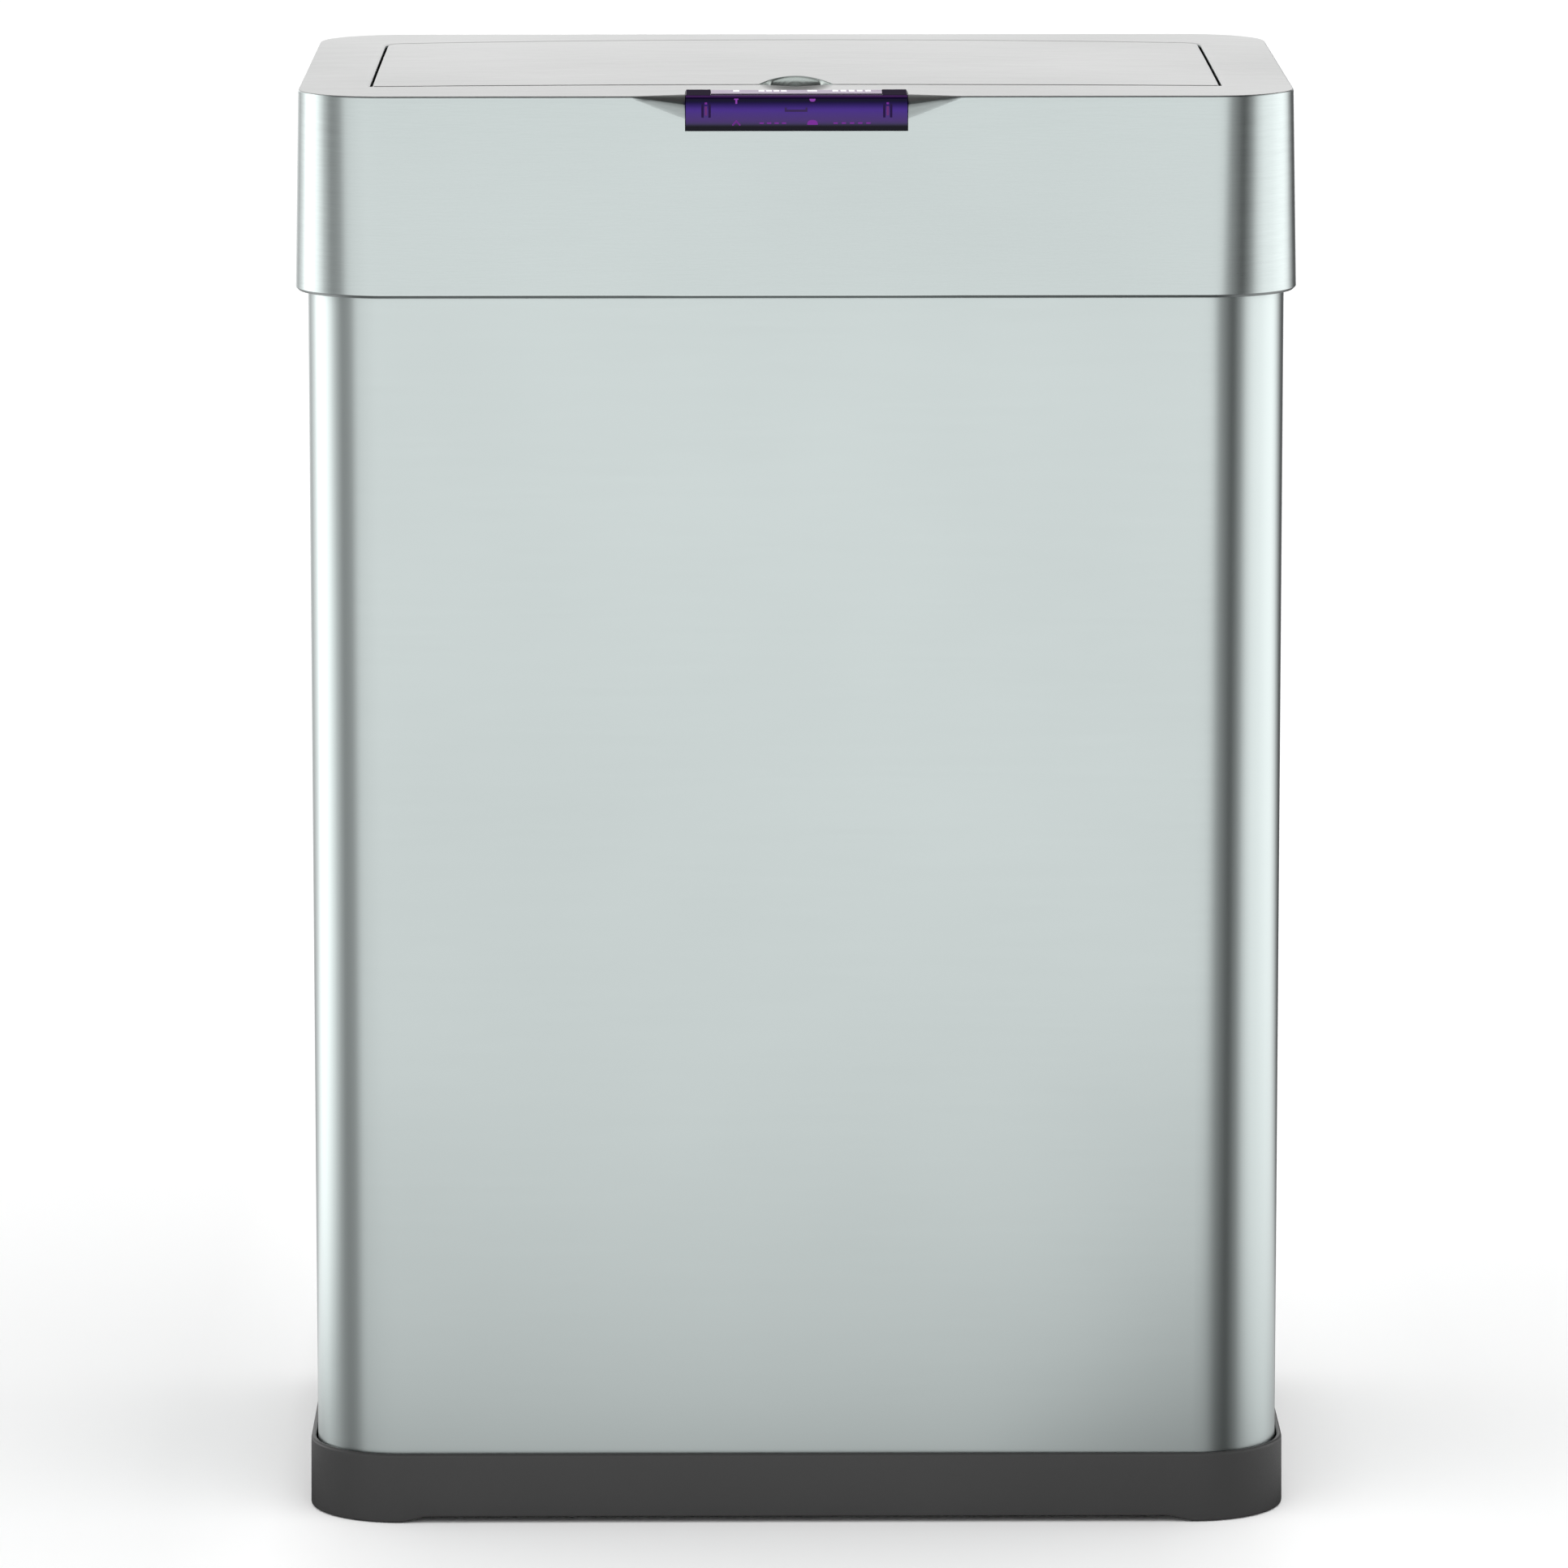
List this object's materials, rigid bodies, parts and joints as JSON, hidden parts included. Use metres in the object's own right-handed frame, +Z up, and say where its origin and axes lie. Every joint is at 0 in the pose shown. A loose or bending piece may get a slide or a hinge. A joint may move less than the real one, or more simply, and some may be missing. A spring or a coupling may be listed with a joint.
{
  "type": "sensor waste bin",
  "caption": "Tall rounded rectangular stainless waste bin on a dark plastic base, with a deep removable head, a motorised flap lid and a violet sensor bar at the front edge.",
  "frame": {"origin": "centre of the bin's footprint, on the floor under the feet", "axes": "+Z up, +Y towards the back, +X to the right as seen from the front; the sensor bar faces -Y"},
  "size_m": [0.42, 0.293, 0.6098],
  "materials": {
    "brushed_stainless": "brushed stainless sheet, horizontal grain",
    "base_plastic": "dark grey moulded plastic, fine satin texture",
    "black_plastic": "black moulded plastic",
    "grey_plastic": "mid grey moulded plastic",
    "foot_rubber": "moulded rubber",
    "violet_window": "violet tinted polished acrylic",
    "touch_gloss": "glossy lilac white",
    "nylon": "natural nylon",
    "zinc_steel": "zinc plated steel",
    "spring_steel": "bright spring steel",
    "cell_can": "plain sleeved cell can",
    "circuit_board": "green solder mask",
    "indicator_light": "magenta light emitting diode",
    "cable_skin": "black cable jacket"
  },
  "bodies": {
    "bin": {"base_tray": "base_plastic", "foot_front_left": "foot_rubber", "foot_back_left": "foot_rubber", "foot_front_right": "foot_rubber", "foot_back_right": "foot_rubber", "body_shell": "brushed_stainless", "body_collar": "black_plastic"},
    "bag_ring": {"bag_ring": "grey_plastic"},
    "flap": {"flap_panel": "brushed_stainless", "flap_liner": "black_plastic", "hinge_pin_left": "zinc_steel", "hinge_pin_right": "zinc_steel", "sector_gear": "nylon"},
    "pinion": {"drive_pinion": "nylon"},
    "battery_door_left": {"battery_cover_left": "black_plastic"},
    "battery_door_right": {"battery_cover_right": "black_plastic"},
    "rocker": {"power_rocker": "base_plastic"},
    "head": {"rim_skirt": "brushed_stainless", "top_plate": "brushed_stainless", "head_chassis": "black_plastic", "sensor_housing": "black_plastic", "rear_panel": "black_plastic", "dc_jack": "black_plastic", "gearbox_case": "grey_plastic", "lid_bumper_left": "foot_rubber", "lid_bumper_right": "foot_rubber", "sensor_window": "violet_window", "ir_emitter": "violet_window", "ir_receiver": "violet_window", "touch_strip": "touch_gloss", "hinge_bush_left": "nylon", "hinge_bush_right": "nylon", "drive_motor": "zinc_steel", "gearbox_screw_front": "zinc_steel", "gearbox_screw_rear": "zinc_steel", "sensor_screw_left": "zinc_steel", "sensor_screw_right": "zinc_steel", "rear_screw_left": "zinc_steel", "rear_screw_right": "zinc_steel", "battery_spring_left": "spring_steel", "battery_spring_right": "spring_steel", "battery_contact_left": "spring_steel", "battery_contact_right": "spring_steel", "d_cell_left_inner": "cell_can", "d_cell_left_outer": "cell_can", "d_cell_right_inner": "cell_can", "d_cell_right_outer": "cell_can", "sensor_board": "circuit_board", "main_board": "circuit_board", "open_light": "indicator_light", "close_light": "indicator_light", "sensor_cable": "cable_skin"}
  },
  "joints": [
    {"name": "head_lift", "type": "slide", "parent": "bin", "child": "head", "axis": [0, 0, 1], "range_m": [0, 0.15]},
    {"name": "bag_ring_lift", "type": "slide", "parent": "bin", "child": "bag_ring", "axis": [0, 0, 1], "range_m": [0, 0.075]},
    {"name": "flap_hinge", "type": "hinge", "parent": "head", "child": "flap", "pos_m": [0, 0.08, 0.598], "axis": [-1, 0, 0], "range_deg": [0, 81]},
    {"name": "pinion_spin", "type": "hinge", "parent": "head", "child": "pinion", "pos_m": [0, 0.06984, 0.57407], "axis": [-1, 0, 0], "range_deg": [-270.5, 0.5]},
    {"name": "battery_door_left_slide", "type": "slide", "parent": "head", "child": "battery_door_left", "axis": [1, 0, 0], "range_m": [0, 0.012]},
    {"name": "battery_door_right_slide", "type": "slide", "parent": "head", "child": "battery_door_right", "axis": [-1, 0, 0], "range_m": [0, 0.012]},
    {"name": "rocker_tilt", "type": "hinge", "parent": "head", "child": "rocker", "pos_m": [-0.018, 0.145, 0.576], "axis": [-1, 0, 0], "range_deg": [0, 14]}
  ],
  "couplings": [
    {"joint": "pinion_spin", "follows": "flap_hinge", "ratio": -3.3333},
    {"joint": "bag_ring_lift", "follows": "head_lift", "ratio": 0.5}
  ]
}
